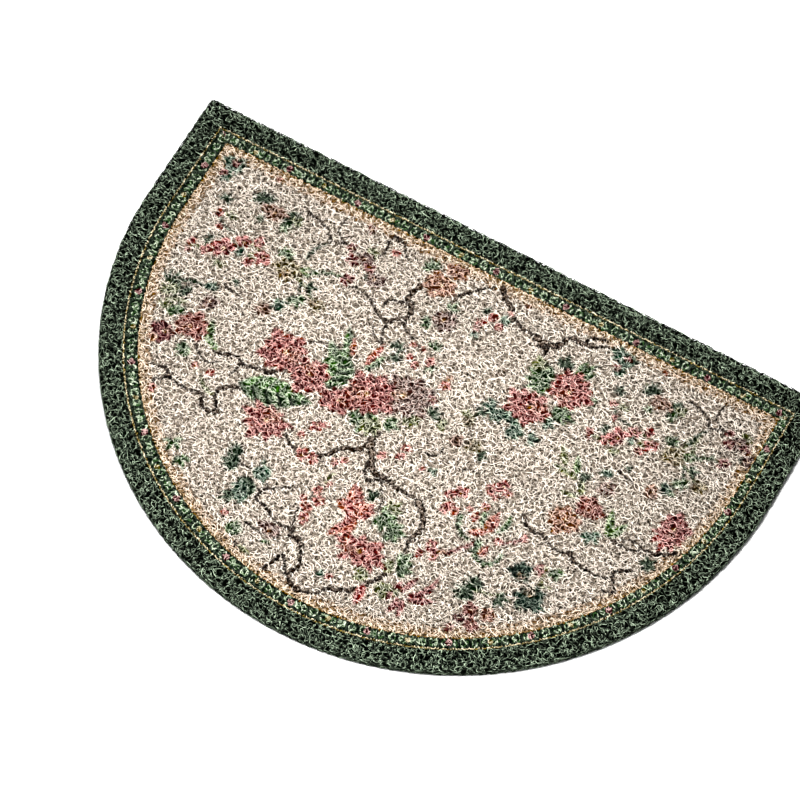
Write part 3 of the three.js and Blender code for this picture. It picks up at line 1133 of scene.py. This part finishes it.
def printNodes(tree):
    # the field's ink, and outside it the border: bands by the depth from the rim, with rings, flowers and
    # dots along the patterned band by the run
    run = attributeNode(tree, "rimRun")
    depth = swayed(tree, attributeNode(tree, "rimDepth"), run, sharp["edgeWaves"])
    inner = swayed(tree, attributeNode(tree, "fieldDepth"), run, sharp["edgeWaves"])
    stem = swayed(tree, attributeNode(tree, "stem"), run, sharp["stemWaves"])
    bark = mixed(tree, ramp(tree, stem, *sharp["barkDepth"]), finish["barkEdge"], finish["barkMiddle"])
    onStem = ramp(tree, stem, -sharp["stemEdge"], sharp["stemEdge"])
    colour = mixed(tree, onStem, attributeNode(tree, "ink"), bark)
    colour = under(tree, inner, band["edgeEnd"], colour, finish["goldEdge"])
    colour = under(tree, inner, band["bandEnd"], colour, finish["greenBand"])
    middle = maths(tree, "MULTIPLY_ADD", maths(tree, "ADD", depth, inner), 0.5, -band["middle"])
    offset = swayed(tree, middle, run, sharp["bandWaves"])

    def farness(spacing, shift):
        # distance to the nearest point of a row with that spacing: the root of the summed squares
        along = maths(tree, "PINGPONG", maths(tree, "ADD", run, shift), spacing / 2)
        square = maths(tree, "MULTIPLY_ADD", along, along, maths(tree, "MULTIPLY", offset, offset))
        return maths(tree, "SQRT", square)

    pitch = band["pitch"]
    ring = swayed(tree, farness(pitch / band["rings"], pitch / band["rings"] / 2), run, sharp["ringWaves"])
    colour = mixed(tree, between(tree, ring, *sharp["ring"]), colour, finish["bandRing"])
    colour = under(tree, farness(pitch, 0), sharp["flower"], colour, finish["flower"])
    colour = under(tree, farness(pitch, pitch / 2), sharp["dot"], colour, finish["dot"])
    line = swayed(tree, depth, run, sharp["lineWaves"])
    colour = mixed(tree, between(tree, line, band["greenEnd"], band["lineEnd"]), colour, finish["goldLine"])
    return under(tree, depth, band["greenEnd"], colour, finish["greenRim"])


def newMaterial(name):
    # a material with its node tree and its shader
    material = bpy.data.materials.new(name)
    material.use_nodes = True
    tree = material.node_tree
    return material, tree, tree.nodes["Principled BSDF"]


def greyed(tree, colour, share):
    # the colour dimmed evenly by a share from another node
    grey = tree.nodes.new("ShaderNodeCombineColor")
    for socket in grey.inputs:
        tree.links.new(share, socket)
    return mixed(tree, 1.0, colour, grey.outputs[0], "MULTIPLY")


def deepened(tree, colour, share):
    # the colour made richer, and blended back to itself by the share
    rich = tree.nodes.new("ShaderNodeHueSaturation")
    rich.inputs["Saturation"].default_value = finish["richness"]
    tree.links.new(colour, rich.inputs["Color"])
    return mixed(tree, share, rich.outputs[0], colour)


def brightness(tree, colour, low, high):
    # 0 where the colour's grey is under low, 1 where it is over high
    grey = tree.nodes.new("ShaderNodeRGBToBW")
    tree.links.new(colour, grey.inputs[0])
    return ramp(tree, grey.outputs[0], low, high)


def onField(tree, rimValue, fieldValue):
    # one number on the green rim and another inside it
    field = maths(tree, "GREATER_THAN", attributeNode(tree, "rimDepth"), band["greenEnd"])
    return maths(tree, "MULTIPLY_ADD", field, fieldValue - rimValue, rimValue)


def loopMaterial():
    # painted shade: low filaments and the sides of each one are darker; painted highlight: the ridges
    # are paler, less so on dark inks inside the rim
    material, tree, shader = newMaterial("printed_loops")
    height = attributeNode(tree, "height")
    ridge = attributeNode(tree, "ridge")
    # painted shade: darker below the top and on a filament's sides
    share = maths(tree, "POWER", height, onField(tree, finish["rimFall"], finish["fieldFall"]))
    share = maths(tree, "MAXIMUM", share, onField(tree, 0.0, finish["fieldLow"]))
    dim = onField(tree, finish["rimSide"], finish["fieldSide"])
    side = maths(tree, "MULTIPLY_ADD", maths(tree, "SUBTRACT", 1.0, dim), ridge, dim)
    ink = printNodes(tree)
    share = maths(tree, "MULTIPLY", share, side)
    colour = greyed(tree, deepened(tree, ink, share), share)
    # painted highlight: paler ridges, blended towards a pale colour
    onRidge = maths(tree, "MULTIPLY_ADD", ridge, 1 - finish["sidePale"], finish["sidePale"])
    top = maths(tree, "MULTIPLY", onRidge, height)
    pale = maths(tree, "POWER", top, onField(tree, finish["rimSharp"], finish["fieldSharp"]))
    pale = maths(tree, "MULTIPLY", onField(tree, 1.0, finish["fieldPale"]), pale)
    onLight = brightness(tree, ink, *finish["darkInk"])
    onInk = maths(tree, "MAXIMUM", onLight, onField(tree, 1.0, finish["darkPale"]))
    pale = maths(tree, "MULTIPLY", pale, onInk)
    highlight = mixed(tree, onField(tree, 0.0, 1.0), finish["rimHighlight"], finish["highlight"])
    colour = mixed(tree, pale, colour, highlight)
    tree.links.new(colour, shader.inputs["Base Color"])
    shader.inputs["Roughness"].default_value = finish["roughness"]
    shader.inputs["Specular IOR Level"].default_value = finish["shine"]
    return material


def bodyMaterial():
    # deeper filaments seen in the gaps: the print again, dimmed as painted shade, on the lines of two bent
    # nets over near-black painted shade
    material, tree, shader = newMaterial("lower_loops")
    place = tree.nodes.new("ShaderNodeTexCoord")
    sway = tree.nodes.new("ShaderNodeTexNoise")
    sway.inputs["Scale"].default_value = deeper["bendScale"]
    tree.links.new(place.outputs["Object"], sway.inputs["Vector"])
    bent = tree.nodes.new("ShaderNodeVectorMath")
    bent.operation = "MULTIPLY_ADD"
    tree.links.new(sway.outputs["Color"], bent.inputs[0])
    bent.inputs[1].default_value = (deeper["bend"], deeper["bend"], 0.0)
    tree.links.new(place.outputs["Object"], bent.inputs[2])
    lines = []
    for scale, width in deeper["nets"]:
        net = tree.nodes.new("ShaderNodeTexVoronoi")
        net.feature = "DISTANCE_TO_EDGE"
        net.inputs["Scale"].default_value = scale
        tree.links.new(bent.outputs[0], net.inputs["Vector"])
        away = maths(tree, "MINIMUM", maths(tree, "DIVIDE", net.outputs["Distance"], width), 1.0)
        lines.append(maths(tree, "SUBTRACT", 1.0, away))
    first = maths(tree, "POWER", lines[0], deeper["netFall"])
    strand = maths(tree, "MAXIMUM", first, maths(tree, "MULTIPLY", lines[1], deeper["secondNet"]))
    ink = printNodes(tree)
    # painted shade: the print dimmed on the net lines, and near black between them
    onLight = brightness(tree, ink, *deeper["darkInk"])
    onInk = maths(tree, "MULTIPLY_ADD", onLight, 1 - deeper["darkDeep"], deeper["darkDeep"])
    deep = maths(tree, "MULTIPLY", onField(tree, deeper["rimDeep"], deeper["fieldDeep"]), onInk)
    share = maths(tree, "MULTIPLY_ADD", strand, deep, deeper["gapShade"])
    colour = greyed(tree, deepened(tree, ink, 0.0), share)
    pressed = maths(tree, "MULTIPLY_ADD", strand, 1 - deeper["underLow"], deeper["underLow"])
    beneath = maths(tree, "SUBTRACT", 1.0, attributeNode(tree, "height"))
    colour = mixed(tree, beneath, colour, greyed(tree, finish["underside"], pressed))
    tree.links.new(colour, shader.inputs["Base Color"])
    bump = tree.nodes.new("ShaderNodeBump")
    bump.inputs["Strength"].default_value = deeper["bump"]
    bump.inputs["Distance"].default_value = deeper["bumpDepth"]
    tree.links.new(strand, bump.inputs["Height"])
    tree.links.new(bump.outputs["Normal"], shader.inputs["Normal"])
    shader.inputs["Roughness"].default_value = deeper["roughness"]
    shader.inputs["Specular IOR Level"].default_value = deeper["shine"]
    return material


loopFinish = loopMaterial()
for piece in loopPieces:
    piece.data.materials.append(loopFinish)
matBody.data.materials.append(bodyMaterial())
print("materials made")

for piece in [matBody, *loopPieces]:
    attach(piece, "root")
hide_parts("mat")


# Floor, lights and camera, with their sizes and places in metres
studio = {
    "floorSize": 12.0,
    "floorDrop": 0.2,  # millimetres under the mat, so that the two faces don't meet
    "floorColour": (246, 246, 246),
    "floorRoughness": 0.9,
    "worldLight": 0.2,
    "target": (-0.021, 0.043, 0.012),
    "place": (1.170, -2.156, 5.001),
    "lens": 200.0,  # millimetres, as is the sensor
    "sensor": 36.0,
    "farthest": 50.0,
    "roll": 1.17,  # degrees
}
lightColumns = ("name", "place", "aim", "size", "power")
lights = [
    ("over", (0.0, -0.11, 0.95), (0.0, -0.11, 0.0), 0.7, 48),
    ("side", (-2.2, 1.6, 1.8), (0.0, 0.0, 0.0), 1.0, 8),
]


def makeFloor():
    # one pale square just under the mat
    half, low = studio["floorSize"] / 2 / mm, -studio["floorDrop"]
    points = np.array([(-half, -half, low), (half, -half, low), (half, half, low), (-half, half, low)])
    floor = makeMesh("floor", points, [np.array([[0, 1, 2, 3]])], planMap(points), smooth=False)
    material, tree, shader = newMaterial("floor_paint")
    shader.inputs["Base Color"].default_value = (*linear(studio["floorColour"]), 1)
    shader.inputs["Roughness"].default_value = studio["floorRoughness"]
    floor.data.materials.append(material)


def makeLight(name, place, aim, size, power):
    # a round soft lamp that faces the place it aims at
    lamp = bpy.data.lights.new(name, "AREA")
    lamp.shape = "DISK"
    lamp.size = size
    lamp.energy = power
    light = bpy.data.objects.new(name, lamp)
    light.location = place
    light.rotation_euler = (Vector(aim) - Vector(place)).to_track_quat("-Z", "Y").to_euler()
    bpy.context.collection.objects.link(light)


def makeCamera():
    # looks from its place to the target, and then rolls
    lens = bpy.data.cameras.new("camera")
    lens.lens = studio["lens"]
    lens.sensor_width = studio["sensor"]
    lens.clip_end = studio["farthest"]
    camera = bpy.data.objects.new("camera", lens)
    place, target = Vector(studio["place"]), Vector(studio["target"])
    turn = (target - place).to_track_quat("-Z", "Y").to_matrix()
    turn = turn @ Matrix.Rotation(math.radians(studio["roll"]), 3, "Z")
    camera.matrix_world = Matrix.Translation(place) @ turn.to_4x4()
    bpy.context.collection.objects.link(camera)
    bpy.context.scene.camera = camera


makeFloor()
for row in lights:
    makeLight(**dict(zip(lightColumns, row)))
makeCamera()
world = bpy.data.worlds.new("studio")
world.use_nodes = True
background = world.node_tree.nodes["Background"]
background.inputs["Color"].default_value = (1, 1, 1, 1)
background.inputs["Strength"].default_value = studio["worldLight"]
bpy.context.scene.world = world
bpy.context.scene.view_settings.view_transform = "Standard"
print("stage set")
